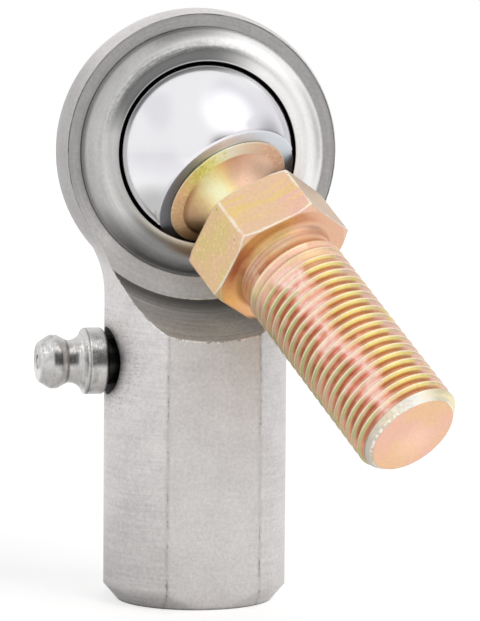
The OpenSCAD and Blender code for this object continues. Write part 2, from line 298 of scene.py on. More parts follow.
def makeStudCore(s):
    edge = s["edge"]
    hexFront = s["hexZ"] + s["hexLength"]
    hollowR = s["neckR"] + s["neckRound"]
    waistZ = s["flangeFront"] + math.sqrt(s["neckRound"] ** 2 - (hollowR - s["neckRootR"]) ** 2)
    neckStart = math.degrees(math.asin((waistZ - s["flangeFront"]) / s["neckRound"]))
    neckRise = math.degrees(math.asin((s["hexZ"] + edge - waistZ) / s["neckRound"]))
    neck = arc((hollowR, waistZ), s["neckRound"], 180 + neckStart, 180 - neckRise, count=28)
    filletCentre = (s["shoulderR"] + s["shoulderFillet"], hexFront + s["shoulderFillet"])
    fillet = arc(filletCentre, s["shoulderFillet"], 270, 180, count=8)
    buried = hexFront - s["overlap"]
    tailFlatR, tailSideZ = s["tailR"] - s["tailChamfer"], s["tailZ"] + s["tailChamfer"]
    outline = [(0, s["tailZ"]), (tailFlatR, s["tailZ"]), (s["tailR"], tailSideZ),
               (s["tailR"], s["flangeZ"]), (s["flangeR"] - edge, s["flangeZ"]),
               (s["flangeR"], s["flangeZ"] + edge), (s["flangeR"], s["rimFront"] - edge),
               (s["flangeR"] - edge, s["rimFront"])] + neck
    outline += [(neck[-1][0], buried), (filletCentre[0], buried)] + fillet
    shoulderZ = hexFront + s["shoulderLength"] + s["overlap"]
    outline += [(s["shoulderR"], shoulderZ), (0, shoulderZ)]
    return lathe("studPiece", outline, s["steps"])


def makeHexagon(s):
    cornerR = s["hexWidth"] / 2 / math.cos(math.radians(30))
    chamfer = s["hexChamfer"]
    bpy.ops.object.select_all(action="DESELECT")
    bpy.ops.mesh.primitive_cylinder_add(vertices=6, radius=cornerR, depth=s["hexLength"],
                                        location=(0, 0, s["hexZ"] + s["hexLength"] / 2),
                                        rotation=(0, 0, math.radians(s["hexTurn"] - 30)))
    hexagon = bpy.context.object
    bpy.ops.object.transform_apply(location=True, rotation=True, scale=True)
    for edge in hexagon.data.edges:
        ends = [hexagon.data.vertices[i].co for i in edge.vertices]
        edge.select = abs(ends[0].z - ends[1].z) > chamfer
    bpy.ops.object.mode_set(mode="EDIT")
    bpy.ops.mesh.select_mode(type="EDGE")
    bpy.ops.mesh.bevel(offset=s["hexEdge"], segments=3)
    bpy.ops.mesh.select_mode(type="VERT")
    bpy.ops.object.mode_set(mode="OBJECT")
    low, high = s["hexZ"], s["hexZ"] + s["hexLength"]
    edgeR, wideR = cornerR - 2 * chamfer, cornerR + chamfer
    slope = (wideR - edgeR) / 2
    roundIn, roundUp = s["hexRoundIn"], s["hexRoundUp"]
    corner = [(edgeR - roundIn, 0), (edgeR, roundUp / 2), (edgeR + roundIn, roundUp + roundIn / 2),
              (wideR, slope)]
    outline = [(0, low)] + [(r, low + z) for r, z in corner] + [(r, high - z) for r, z in reversed(corner)]
    combine(hexagon, lathe("hexTurning", outline + [(0, high)], s["steps"]), "INTERSECT")
    cleanMesh(hexagon)
    return hexagon


def makeStud(s):
    threadZ = s["hexZ"] + s["hexLength"] + s["shoulderLength"]
    endZ = threadZ + s["threadLength"] + s["endAlong"]
    # bar, trimming and run-out start one below the other inside the shoulder
    barZ, trimZ, coneZ = threadZ - 0.4, threadZ - 0.5, threadZ - 0.6
    thread = threadBar("studThread", s["rootR"], s["threadR"], s["pitch"], barZ, endZ)
    # the turns are trimmed to a chamfer at the shoulder and a softened one at the end
    outside = s["threadR"] + s["spare"]
    endR = s["threadR"] - s["endIn"]
    chamferZ = endZ - s["endAlong"] * (s["endIn"] + s["spare"]) / s["endIn"]
    trimmed = [(0, trimZ), (s["rootR"] - 0.1, trimZ), (outside, threadZ + 0.6), (outside, chamferZ),
               (endR + s["endSoftIn"], endZ - s["endSoftAlong"]), (endR, endZ - 0.02), (0, endZ - 0.001)]
    combine(thread, lathe("threadEnvelope", trimmed, s["steps"]), "INTERSECT")
    # the first grooves run out into a cone at the shoulder
    runoutZ = threadZ + s["runout"]
    cone = [(0, coneZ), (s["shoulderR"] - 0.03, coneZ), (s["threadR"] - 0.03, threadZ + 0.4),
            (s["rootR"] - 0.05, runoutZ), (0, runoutZ)]
    combine(thread, lathe("threadRunout", cone, s["steps"]), "UNION")
    stud = makeStudCore(s)
    combine(stud, makeHexagon(s), "UNION")
    combine(stud, thread, "UNION")
    setInPlace(stud, studFrame, sharpAngle=28)
    return stud


stud = makeStud(studSizes)
finishPiece(stud, "stud", "stud")
print("stud:", len(stud.data.polygons), "faces")


# the grease fitting: driven shank, collar, hollow flare, neck and nozzle head

nozzleSizes = dict(innerZ=5.0, shankR=2.8, collarZ=11.35, collarR=4.03, collarChamfer=0.42, flareZ=14.0,
                   neckZ=15.85, neckR=2.58, flareR=1.9, backZ=16.07, sideZ=17.2, headR=3.25, frontZ=18.2,
                   tipZ=19.6, tipR=2.35, mouthR=0.9, mouthDepth=0.35, boreR=1.45, crimpR=0.7, crimpDepth=0.6,
                   edge=0.12, steps=96)


def makeFitting(n):
    edge = n["edge"]
    flareCentre = (n["neckR"] + n["flareR"], n["neckZ"])
    flareStart = math.degrees(math.asin((n["neckZ"] - n["flareZ"]) / n["flareR"]))
    flare = arc(flareCentre, n["flareR"], 180 + flareStart, 180, count=14)
    outline = [(n["crimpR"], n["innerZ"]), (n["shankR"], n["innerZ"]), (n["shankR"], n["collarZ"]),
               (n["collarR"] - 2 * n["collarChamfer"], n["collarZ"]),
               (n["collarR"] - edge, n["collarZ"] + n["collarChamfer"] - edge / 2),
               (n["collarR"], n["collarZ"] + n["collarChamfer"] + edge),
               (n["collarR"], n["flareZ"] - 2 * edge),
               (n["collarR"] - edge / 2, n["flareZ"] - edge / 2)] + flare[1:]
    outline += [(n["neckR"], n["backZ"]), (n["headR"] - edge, n["sideZ"] - edge),
                (n["headR"], n["sideZ"] + edge), (n["headR"], n["frontZ"] - edge),
                (n["headR"] - edge, n["frontZ"] + edge), (n["tipR"] + edge, n["tipZ"] - 2 * edge),
                (n["tipR"], n["tipZ"] - edge), (n["tipR"] - edge, n["tipZ"] - edge / 4),
                (n["tipR"] - 2 * edge, n["tipZ"])]
    outline += [(n["mouthR"], n["tipZ"]), (n["mouthR"], n["tipZ"] - n["mouthDepth"]),
                (n["boreR"], n["tipZ"] - n["mouthDepth"]), (n["boreR"], n["innerZ"] + n["crimpDepth"]),
                (n["crimpR"], n["innerZ"] + n["crimpDepth"])]
    fitting = lathe("greaseFitting", outline + [outline[0]], n["steps"])
    setInPlace(fitting, fittingFrame, sharpAngle=28)
    return fitting


fitting = makeFitting(nozzleSizes)
finishPiece(fitting, "grease_fitting", "shank")
print("fitting:", len(fitting.data.polygons), "faces")


# the check spring: a wire coil, left at its rest length, though the real one shortens towards its inner end
# as the check ball is pushed in

coilSizes = dict(meanR=0.95, wireR=0.18, turns=8, steps=24, sides=12)


def makeSpring(c):
    outer, inner = (corner[0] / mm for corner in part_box("check_spring"))
    start, end = c["wireR"] - inner, -outer - c["wireR"]
    bpy.ops.object.select_all(action="DESELECT")
    bpy.ops.mesh.primitive_circle_add(vertices=c["sides"], radius=c["wireR"], location=(c["meanR"], 0, start),
                                      rotation=(math.pi / 2, 0, 0))
    spring = bpy.context.object
    spring.name = "springPiece"
    bpy.ops.object.transform_apply(location=True, rotation=True, scale=True)
    applyModifier(spring, "SCREW", axis="Z", angle=2 * math.pi, screw_offset=(end - start) / c["turns"],
                  iterations=c["turns"], steps=c["steps"], render_steps=c["steps"])
    bpy.ops.object.mode_set(mode="EDIT")
    bpy.ops.mesh.select_all(action="SELECT")
    bpy.ops.mesh.fill_holes(sides=c["sides"])
    bpy.ops.object.mode_set(mode="OBJECT")
    cleanMesh(spring)
    setInPlace(spring, fittingFrame, sharpAngle=50)
    finishPiece(spring, "check_spring", "shank")
    travel = joints["check_valve"]["range_m"][1] / mm
    1 - travel / (end - start)
    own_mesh(spring)
    return spring


spring = makeSpring(coilSizes)
print("spring:", len(spring.data.polygons), "faces")


# shader writing: a wire is one socket's value, and sums of wires become nodes

class Wire:
    def __init__(self, finish, socket):
        self.finish = finish
        self.socket = socket

    def __add__(self, other):
        return self.finish.maths("ADD", self, other)

    def __radd__(self, other):
        return self.finish.maths("ADD", other, self)

    def __sub__(self, other):
        return self.finish.maths("SUBTRACT", self, other)

    def __rsub__(self, other):
        return self.finish.maths("SUBTRACT", other, self)

    def __mul__(self, other):
        return self.finish.maths("MULTIPLY", self, other)

    def __rmul__(self, other):
        return self.finish.maths("MULTIPLY", other, self)

    def __truediv__(self, other):
        return self.finish.maths("DIVIDE", self, other)

    def __rtruediv__(self, other):
        return self.finish.maths("DIVIDE", other, self)

    def __pow__(self, other):
        return self.finish.maths("POWER", self, other)

    def __gt__(self, other):
        return self.finish.maths("GREATER_THAN", self, other)

    def __lt__(self, other):
        return self.finish.maths("LESS_THAN", self, other)

    def __abs__(self):
        return self.finish.maths("ABSOLUTE", self)


class Finish:
    def __init__(self, name, owner=None):
        self.material = owner or bpy.data.materials.new(name)
        self.material.use_nodes = True
        self.tree = self.material.node_tree
        self.tree.nodes.clear()

    def node(self, kind, settings=None, sockets=None, out=0):
        # one node of any type: settings first, then the values or wires of its sockets
        made = self.tree.nodes.new(kind)
        for setting, value in (settings or {}).items():
            if setting == "stops":
                ramp = made.color_ramp
                while len(ramp.elements) < len(value):
                    ramp.elements.new(0.5)
                for element, (place, colour) in zip(ramp.elements, value):
                    element.position = place
                    element.color = (*colour, 1)
            else:
                setattr(made, setting, value)
        for socket, value in (sockets or {}).items():
            if isinstance(value, Wire):
                self.tree.links.new(value.socket, made.inputs[socket])
            else:
                made.inputs[socket].default_value = value
        return Wire(self, made.outputs[out]) if made.outputs else made

    def maths(self, operation, first, second=0.0):
        return self.node("ShaderNodeMath", {"operation": operation}, {0: first, 1: second})

    def place(self, centre=(0, 0, 0)):
        # object coordinates in millimetres, from a centre given in metres
        spot = self.node("ShaderNodeTexCoord", out="Object")
        moved = self.node("ShaderNodeVectorMath", {"operation": "SUBTRACT"}, {0: spot, 1: tuple(centre)})
        return self.node("ShaderNodeVectorMath", {"operation": "SCALE"}, {0: moved, "Scale": 1 / mm})

    def along(self, vector, axis):
        other = axis if isinstance(axis, Wire) else tuple(axis)
        return self.node("ShaderNodeVectorMath", {"operation": "DOT_PRODUCT"}, {0: vector, 1: other}, "Value")

    def axes(self, vector):
        return [self.along(vector, axis) for axis in ((1, 0, 0), (0, 1, 0), (0, 0, 1))]

    def vector(self, x, y, z):
        return self.node("ShaderNodeCombineXYZ", None, {"X": x, "Y": y, "Z": z})

    def noise(self, vector, scale, detail=2.0, roughness=0.5):
        return self.node("ShaderNodeTexNoise", None,
                         {"Vector": vector, "Scale": scale, "Detail": detail, "Roughness": roughness})

    def step(self, value, low, high, toLow=0.0, toHigh=1.0):
        sockets = {"Value": value, "From Min": low, "From Max": high, "To Min": toLow, "To Max": toHigh}
        return self.node("ShaderNodeMapRange", {"interpolation_type": "SMOOTHSTEP"}, sockets)

    def most(self, first, *others):
        for other in others:
            first = self.maths("MAXIMUM", first, other)
        return first

    def ramp(self, value, *stops):
        return self.node("ShaderNodeValToRGB", {"stops": stops}, {"Fac": value})

    def mix(self, share, first, second, blend="MIX"):
        colours = [value if isinstance(value, Wire) else (*value, 1) for value in (first, second)]
        return self.node("ShaderNodeMix", {"data_type": "RGBA", "blend_type": blend},
                         {"Factor": share, 6: colours[0], 7: colours[1]}, 2)

    def bump(self, height, strength, distance, normal=None):
        sockets = {"Height": height, "Strength": strength, "Distance": distance}
        if normal:
            sockets["Normal"] = normal
        return self.node("ShaderNodeBump", None, sockets)

    def edgeWear(self, radius, low, high):
        # a softened normal and a mask that is 1 on sharp edges
        soft = self.node("ShaderNodeBevel", {"samples": 6}, {"Radius": radius})
        true = self.node("ShaderNodeNewGeometry", out="Normal")
        return soft, self.step(1 - self.along(soft, true), low, high)

    def grey(self, shade, warmth=0.0):
        return self.node("ShaderNodeCombineColor", None,
                         {0: shade, 1: shade * (1 - warmth / 2), 2: shade * (1 - warmth)})

    def facing(self, axis):
        return self.along(self.node("ShaderNodeTexCoord", out="Normal"), axis)

    def backgroundRay(self):
        # 1 for rays that should see the background itself: from the camera, and off metal or glass
        path = "ShaderNodeLightPath"
        seen = self.node(path, out="Is Camera Ray") + self.node(path, out="Is Glossy Ray")
        return self.maths("MINIMUM", seen + self.node(path, out="Is Transmission Ray"), 1.0)

    def surface(self, **sockets):
        shader = self.node("ShaderNodeBsdfPrincipled", None, sockets)
        self.node("ShaderNodeOutputMaterial", None, {"Surface": shader})
        return self.material


def hypot(first, second):
    return (first * first + second * second) ** 0.5


def tint(red, green, blue):
    # a colour as a screen shows it, 0 to 255, in the shader's own values
    levels = [value / 255 for value in (red, green, blue)]
    return tuple(((level + 0.055) / 1.055) ** 2.4 if level > 0.04 else level / 12.92 for level in levels)


def dress(piece, material):
    piece.data.materials.clear()
    piece.data.materials.append(material)


def bodyPlaces(f, b):
    # where a spot is on the body, from the ball's centre
    p = f.place(ballCentre)
    x, y, z = f.axes(p)
    nx, ny, nz = f.axes(f.node("ShaderNodeTexCoord", out="Normal"))
    reach, depth = hypot(x, z), abs(y)
    across, above = x / reach, z / reach
    inward = 0 - (nx * across + nz * above)
    wall = (inward > 0.6) * (depth > b["faceDepth"] + 0.02)
    headFace = (depth < b["faceDepth"] + 0.1) * (abs(ny) > 0.85)
    shank = f.step(z, b["neckZ"], b["neckZ"] - 2) * (1 - wall)
    # the cutter's rings on the faces, the lathe's rings on the round sides, and a plating grain all over
    rings = f.noise(f.vector(reach * 5 + depth * 5, across * 1.3, above * 1.3), 1.0, 3.0, 0.65)
    broad = f.noise(f.vector(reach * 1.6 + depth * 1.6, across, above), 1.0, 2.0)
    turned = f.noise(f.vector(z * 3.2, x * 0.15, y * 0.15), 1.0, 3.0, 0.65)
    return SimpleNamespace(p=p, x=x, y=y, z=z, nx=nx, reach=reach, depth=depth, wall=wall, headFace=headFace,
                           shank=shank, rings=rings, broad=broad, turned=turned,
                           speckle=f.noise(p, 2.4, 4.0, 0.7), cloud=f.noise(p, 0.30, 3.0))


def bodyTone(f, at, b):
    turning = f.step(abs(at.x), b["flatEdge"] - 0.1, b["flatEdge"] + 0.5, 0.14, 0.34)
    tone = 0.62 + at.speckle * 0.56 + at.cloud * 0.24 + at.shank * (at.turned - 0.5) * turning
    # painted shade: the flats are painted a little darker above their lower stretch
    tone = tone * (1 - at.shank * f.step(abs(at.x), 6.0, 5.5) * f.step(at.z, -47, -36) * 0.06)
    # the head's face, in a painted shade that is deepest towards its top, with a broken dark line along its
    # edge
    faceShade = f.step(at.z, -2, -15, 0.58, 0.20) + f.step(at.z, -10, -13) * 0.19 - at.rings * 0.3
    tone = tone * (1 - at.headFace * faceShade)
    faceEdge = at.headFace * f.step(abs(at.reach - b["faceR"]), 0.16, 0.05) * f.step(at.z, -12, -7)
    tone = tone * (1 - faceEdge * f.step(at.cloud, 0.36, 0.6, 0.2, 0.7))
    # painted shade on the cut's wall, with a painted shadow deepening towards the face
    tone = tone * (1 - at.wall * (0.64 - at.rings * 0.9 - at.broad * 0.3))
    tone = tone * (1 - at.wall * f.step(at.depth, 5.6, 3.2) * 0.6)
    # painted shade on the head's rim on the left and on the foot, and a painted dark line where the foot
    # meets the floor
    rim = f.step(at.z, -15, -9) * (1 - at.headFace) * f.step(0 - at.nx, 0.6, 0.92)
    tone = tone * (1 - rim * 0.32)
    footShade = f.step(at.z, b["footZ"] + 2.2, b["footZ"]) * f.step(at.nx, -0.1, -0.6, 0.06, 0.2)
    return tone * (1 - footShade) * f.step(at.z, b["footZ"], b["footZ"] + 0.3, 0.55, 1.0)


def recessShade(f, at, b):
    # painted shadow: the drilled recess around the fitting is painted black, and the painted shade smears out
    # along the lathe's rings, with ragged darker patches around the fitting
    leftSide = at.x < -3
    fromFitting = hypot(at.y, at.z - fittingDrop)
    smear = f.noise(f.vector(at.z * 5, at.y * 0.8, 0), 1.0, 3.0, 0.6)
    sunk = leftSide * f.step(fromFitting + (smear - 0.5) * 2.4, 5.7, 3.6)
    recessed = f.step(hypot(at.x, at.y), b["shankR"] - 0.04, b["shankR"] - 0.2)
    hollow = leftSide * f.step(fromFitting, 4.5, 3.3) * recessed
    darkPatches = leftSide * f.step(fromFitting, 9.0, 5.0) * f.step(smear * 0.6 + at.speckle * 0.4, 0.48, 0.36)
    return f.most(sunk * 0.52, darkPatches * 0.36, hollow * 0.93)


def bodyEdges(f, at, b):
    # the cut's edge carries a broken bright burr, painted as a highlight, with painted shade where it breaks;
    # the flats' edges a broken dark line
    outerDepth = f.maths("MINIMUM", b["flatDepth"], (b["shankR"] ** 2 - at.x * at.x) ** 0.5)
    wallRise = math.tan(math.radians(b["wallSlope"]))
    fromWall = at.reach - (b["wallR"] + (at.depth - b["faceDepth"]) * wallRise)
    ragged = f.noise(at.p, 1.6, 4.0, 0.7)
    broken = f.step(f.noise(at.p, 1.1, 3.0, 0.7), 0.42, 0.54)
    burrHighlight = at.wall * f.step(outerDepth - at.depth + ragged * 0.5, 0.44, 0.32)
    burrHighlight = f.most(burrHighlight, at.shank * f.step(abs(fromWall) + ragged * 0.6, 0.46, 0.34)) * broken
    edgeShade = at.shank * (1 - broken) * f.step(abs(fromWall) + ragged * 0.5, 0.44, 0.30)
    kept = f.step(f.noise(at.p, 0.5, 3.0, 0.7), 0.46, 0.64, 0.02, 0.44)
    fromFlat = abs(abs(at.x) - b["flatEdge"] + (at.cloud - 0.5) * 0.5)
    crease = f.step(fromFlat + (ragged - 0.5) * 0.5, 0.15, 0.01) * kept + f.step(fromFlat, 0.5, 0.05) * 0.1
    return burrHighlight, f.most(crease * at.shank, edgeShade * 0.55)


def bodyFinish(b):
    f = Finish("platedSteel")
    at = bodyPlaces(f, b)
    burrHighlight, darkLine = bodyEdges(f, at, b)
    tone = bodyTone(f, at, b) * (1 - recessShade(f, at, b)) * (1 - darkLine)
    # a painted cool cast on the wall's front and the lower face, set against the stud's gold that the steel
    # mirrors there
    shadow = f.mix(f.step(at.x, -9, 6), tint(217, 219, 223), tint(224, 232, 241))
    shadow = f.mix(f.step(0 - at.y, 3.4, 6.4), tint(222, 222, 223), shadow)
    plate = f.mix(at.wall, tint(216, 213, 212), shadow)
    lowFace = at.headFace * (at.y < 0) * f.step(at.z, -9, -13) * f.step(at.x, -10, 0)
    plate = f.mix(lowFace, plate, tint(215, 220, 227))
    grey = f.mix(1.0, plate, f.grey(tone), "MULTIPLY")
    # fine edges all over, and a wider round on the foot
    soft, worn = f.edgeWear(0.2 * mm, 0.02, 0.10)
    rounded = f.node("ShaderNodeBevel", {"samples": 8}, {"Radius": 0.9 * mm})
    soft = f.mix(f.step(at.z, -50.5, -52.0), soft, rounded)
    bright = f.most(burrHighlight * 0.9, worn * (1 - at.shank) * 0.4)
    colour = f.mix(bright, grey, (0.95, 0.95, 0.94))
    grain = at.shank * (at.speckle + at.turned * 0.6) * 0.5
    marks = at.headFace * at.rings * 0.7 + at.wall * at.rings + grain
    return f.surface(**{"Base Color": colour, "Metallic": 1.0,
                        "Roughness": 0.40 + at.speckle * 0.14 + at.wall * 0.1,
                        "Normal": f.bump(marks, 0.3, 0.02 * mm, soft)})


def raceFinish(r):
    f = Finish("burnishedSteelPaintedShade")
    p = f.place(ballCentre)
    x, y, z = f.axes(p)
    reach = hypot(x, z)
    around = f.maths("ARCTAN2", z, x)
    rub = f.noise(f.vector(reach * 5 + abs(y) * 5, x / reach * 2.5, z / reach * 2.5), 1.0, 3.0, 0.65)
    scuff = f.noise(p, 2.6, 3.0, 0.65)
    ragged = rub * 0.6 + scuff * 0.4 - 0.5
    # across runs from the lip, about -0.5, over the crest at 0 to the seam at 1
    across = (reach - r["outerR"] + r["roundR"]) / r["roundR"]
    # painted shade and painted light: dark bands inside the lip on the upper left, the left and below, a
    # lighter right side, and darker outer stretches on the left, top and bottom
    upperLeft = f.step((z * 0.883 - x * 0.47) / reach, 0.42, 0.9)
    left = f.step((0 - x) / reach, 0.3, 0.9)
    below = f.step((0 - z) / reach, 0.35, 0.85)
    innerBand = upperLeft * f.step(across + ragged * 0.6, 0.5, 0.0) * f.step(across, -0.46, -0.36)
    leftBand = left * f.step(across + ragged * 0.3, 0.7, -0.1) * 0.3
    lowBand = below * f.step(across + ragged * 0.3, -0.55, -0.15) * 0.64
    bandShade = f.most(innerBand * 0.78, leftBand, lowBand)
    outerLeft = f.step((0 - x * 0.9 + z * 0.44) / reach, 0.1, 0.8) * f.step(across, 0.05, 0.5)
    outerTop = f.step(abs(around - 1.72), 0.45, 0.15) * f.step(across, 0.3, 0.85)
    right = f.step((x * 0.9 + z * 0.44) / reach, 0.3, 0.8)
    shade = 0.82 + right * 0.07 + ragged * 0.4 - outerLeft * 0.24 - outerTop * 0.22 - below * 0.12
    shade = (shade - f.step(across, 0.2, 0.9) * (1 - right) * 0.12) * (1 - bandShade)
    # painted shadow: the lip's inside is painted black
    inside = f.step(reach, r["lipR"] + 0.13, r["lipR"] + 0.03)
    seam = f.step(abs(y), r["halfWidth"] + 0.22, r["halfWidth"] + 0.06)
    shade = shade * (1 - inside) * (1 - seam * 0.6)
    return f.surface(**{"Base Color": f.grey(shade, 0.02), "Metallic": 1.0,
                        "Roughness": 0.3 + scuff * 0.14 + inside * 0.4,
                        "Normal": f.bump(rub + scuff * 0.5, 0.15, 0.02 * mm)})


def ballFinish(b):
    f = Finish("polishedChrome")
    p = f.place(ballCentre)
    along = f.along(p, studAxis)
    flat = f.step(abs(along), b["halfWidth"] - 0.1, b["halfWidth"] - 0.04)
    patch = f.step(f.noise(p, 0.11, 1.0), 0.44, 0.60)
    haze = f.noise(p, 0.5, 2.0)
    polishAndSheen = f.mix(patch * 0.6, tint(236, 235, 238), tint(217, 215, 222))
    # painted light: the ball is painted whiter below its centre
    polishAndSheen = f.mix(f.step(f.along(p, (0, 0, 1)), 0, -8), polishAndSheen, tint(252, 252, 252))
    u, v = f.along(p, leanAxis.cross(studAxis)), f.along(p, leanAxis)
    reach = hypot(u, v)
    rings = f.noise(f.vector(reach * 9, 0, 0), 1.0, 2.0)
    # the flat's brushed rings, in a painted shade that is dark on one side and light on the other
    ringed = v / reach * 0.5 + rings * 0.25 + 0.375
    brushedAndShaded = f.ramp(ringed, (0.30, tint(158, 163, 172)), (0.56, tint(250, 252, 255)),
                     (0.80, tint(220, 226, 232)))
    brushedAndShaded = f.mix(along > 0, tint(226, 226, 226), brushedAndShaded)
    colour = f.mix(flat, polishAndSheen, brushedAndShaded)
    return f.surface(**{"Base Color": colour, "Metallic": 1.0, "Roughness": 0.12 + haze * 0.06 + flat * 0.35,
                        "Normal": f.bump(rings * flat, 0.1, 0.02 * mm)})


def studPlaces(f):
    # s runs along the stud; side and rise go from -1 to 1, across it and square to that
    p = f.place(ballCentre)
    s = f.along(p, studAxis)
    u, v = f.along(p, leanAxis.cross(studAxis)), f.along(p, leanAxis)
    reach = hypot(u, v)
    side, rise = v / reach, u / reach
    streak = f.noise(f.vector(s * 1.7 + reach * 0.5, side * 0.8, rise * 0.8), 1.0, 3.0, 0.6)
    return SimpleNamespace(p=p, s=s, u=u, v=v, reach=reach, side=side, rise=rise, streak=streak,
                           drift=f.noise(p, 0.30, 3.0, 0.6), speck=f.noise(p, 2.2, 4.0, 0.7))


def zincFilmAndShade(f, at):
    # peach with pink clouds and yellow streaks, painted lighter and yellower on the left with cream glints,
    # and a painted grey-beige shade on faces turned along the lean axis
    leftFace = f.step(at.side, -0.35, -0.65)
    yellow = f.step(at.streak * 0.9 + at.drift * 0.1, 0.48, 0.56) * f.step(at.s, 20.5, 17.0)
    pink = f.step(at.drift + at.streak * 0.3 + (at.side - 0.5) * 0.12, 0.58, 0.76)
    filmAndShade = f.mix(pink, tint(233, 197, 164), tint(236, 190, 174))
    filmAndShade = f.mix(yellow * 0.6, filmAndShade, tint(234, 208, 122))
    leftTone = f.mix(f.step(at.drift, 0.40, 0.62), tint(224, 200, 141), tint(231, 194, 157))
    filmAndShade = f.mix(leftFace, filmAndShade, leftTone)
    filmAndShade = f.mix(f.step(at.speck, 0.54, 0.70) * (0.1 + leftFace * 0.4), filmAndShade, tint(244, 226, 190))
    return f.mix(f.step(f.facing(leanAxis), 0.5, 0.7) * 0.85, filmAndShade, tint(204, 180, 156))


def hexFaceTone(f, at):
    # painted shade: the hexagon's front face and the fillet next to it go from brown over gold to pink around
    # the stud, and the shoulder past them is painted pale against its shade
    turn = at.rise * 0.5 + 0.5 + (at.drift - 0.5) * 0.4
    tone = f.ramp(turn, (0.02, tint(214, 176, 120)), (0.20, tint(186, 122, 86)), (0.42, tint(220, 164, 102)),
                  (0.62, tint(234, 178, 108)), (0.88, tint(236, 180, 134)))
    tone = f.mix(f.step(at.side + (at.drift - 0.5) * 0.6, 0.0, 0.6), tone, tint(230, 184, 154))
    return f.mix(f.step(at.s, 21.5, 22.0) * 0.95, tone, tint(255, 228, 208))


def neckTone(f, at):
    # the hollow neck carries a painted highlight on the left, and a painted brown shade on the left next to
    # the flange
    fromHighlight = abs(at.side + 0.42 + (at.drift - 0.5) * 0.3)
    gold = f.ramp(at.drift, (0.38, tint(255, 214, 172)), (0.52, tint(255, 222, 172)),
                  (0.64, tint(250, 210, 188)))
    gold = f.mix(f.step(at.side, -0.25, 0.15), gold, tint(234, 198, 172))
    gold = f.mix(f.step(fromHighlight, 0.7, 0.0), gold, tint(255, 238, 168))
    gold = f.mix(f.step(fromHighlight, 0.42, 0.0), gold, tint(255, 252, 214))
    brown = f.step(at.reach, 5.6, 6.3) * f.step(at.side, -0.5, -0.9)
    return f.mix(brown * 0.6, gold, tint(196, 138, 102))


def flangeTone(f, at):
    return f.ramp(at.side * 0.5 + 0.3 + at.speck * 0.4, (0.10, tint(255, 226, 186)),
                  (0.28, tint(238, 232, 144)), (0.40, tint(250, 248, 182)),
                  (0.58, tint(255, 255, 240)), (0.95, tint(238, 204, 176)))


def threadTone(f, at, sizes):
    # cream crests, olive over pink to yellow below them, brick red to salmon in the roots; the pinkish white
    # stops a third of the way along both ramps paint a highlight running along the thread
    hue = at.side * 0.5 + 0.5 + (f.noise(at.p, 0.36, 2.0) - 0.5) * 0.7
    upper = f.ramp(hue, (0.00, tint(214, 188, 152)), (0.08, tint(192, 192, 134)), (0.17, tint(198, 192, 136)),
                   (0.25, tint(226, 190, 166)), (0.34, tint(255, 226, 210)), (0.44, tint(246, 214, 178)),
                   (0.54, tint(240, 214, 148)), (0.66, tint(248, 232, 140)), (0.84, tint(244, 224, 154)),
                   (0.93, tint(240, 206, 186)))
    lower = f.ramp(hue, (0.00, tint(228, 162, 136)), (0.08, tint(210, 144, 116)), (0.16, tint(210, 138, 112)),
                   (0.25, tint(244, 178, 160)), (0.34, tint(255, 228, 220)), (0.44, tint(250, 200, 182)),
                   (0.54, tint(214, 156, 124)), (0.64, tint(206, 150, 112)), (0.82, tint(216, 164, 128)),
                   (0.93, tint(240, 196, 180)))
    green = f.step(f.noise(at.p, 0.5, 1.0), 0.52, 0.62) * f.step(at.side, 0.3, -0.1) * f.step(at.s, 36, 27)
    upper = f.mix(green * 0.7, upper, tint(172, 194, 112))
    tone = f.mix(f.step(at.reach, 5.86, 6.10), lower, upper)
    crest = f.step(at.reach, sizes["threadR"] - 0.05, sizes["threadR"] - 0.01)
    tone = f.mix(crest * 0.8, tone, tint(250, 236, 210))
    # pink and olive swirls where the grooves run out
    swirl = f.step(f.noise(f.vector(at.s * 2.2, at.side * 1.4, at.rise * 1.4), 1.0, 2.0), 0.48, 0.64)
    swirlTone = f.mix(swirl * 0.65, tint(246, 194, 178), tint(216, 212, 138))
    return f.mix(f.step(at.s, 27.2, 24.6) * 0.8, tone, swirlTone)


def shoulderLines(f, at, sizes, colour):
    # the die's first turns leave only fine lines on the shoulder, painted as lines of highlight and shade
    coil = f.maths("FRACT", at.s / sizes["pitch"] + f.maths("ARCTAN2", at.u, at.v) / (2 * math.pi))
    fine = f.step(at.s, 21.3, 21.7) * f.step(at.s, 26.2, 24.4)
    colour = f.mix(fine * f.step(abs(coil - 0.2), 0.22, 0.05) * 0.3, colour, tint(184, 132, 96))
    return f.mix(fine * f.step(abs(coil - 0.55), 0.16, 0.05) * 0.8, colour, tint(252, 230, 188))


def studEnd(f, at, endZ, colour):
    # a silvery chamfer with a broken bright rim, painted darker on the left with a painted highlight on the
    # upper right, and a blushing face with a painted highlight
    pale = at.side * 0.5 + 0.2 + at.speck * 0.6
    chamferTone = f.ramp(pale, (0.05, tint(208, 202, 190)), (0.3, tint(228, 216, 188)),
                         (0.62, tint(255, 252, 244)), (0.85, tint(248, 236, 200)))
    colour = f.mix(f.step(at.s, endZ - 1.283, endZ - 1.033), colour, chamferTone)
    endRim = f.step(abs(at.s - endZ + 0.243), 0.16, 0.05) * f.step(at.speck, 0.42, 0.56)
    colour = f.mix(endRim * 0.8, colour, tint(255, 252, 244))
    blush = f.step(f.noise(at.p, 0.25, 2.0), 0.4, 0.62)
    shine = f.step(hypot(at.u - 1.2, at.v), 4.0, 0.3)
    faceTone = f.mix(blush, tint(238, 196, 156), tint(240, 192, 170))
    faceTone = f.mix(shine * 0.6, faceTone, tint(255, 214, 188))
    return f.mix(f.step(at.s, endZ - 0.123, endZ - 0.063), colour, faceTone)


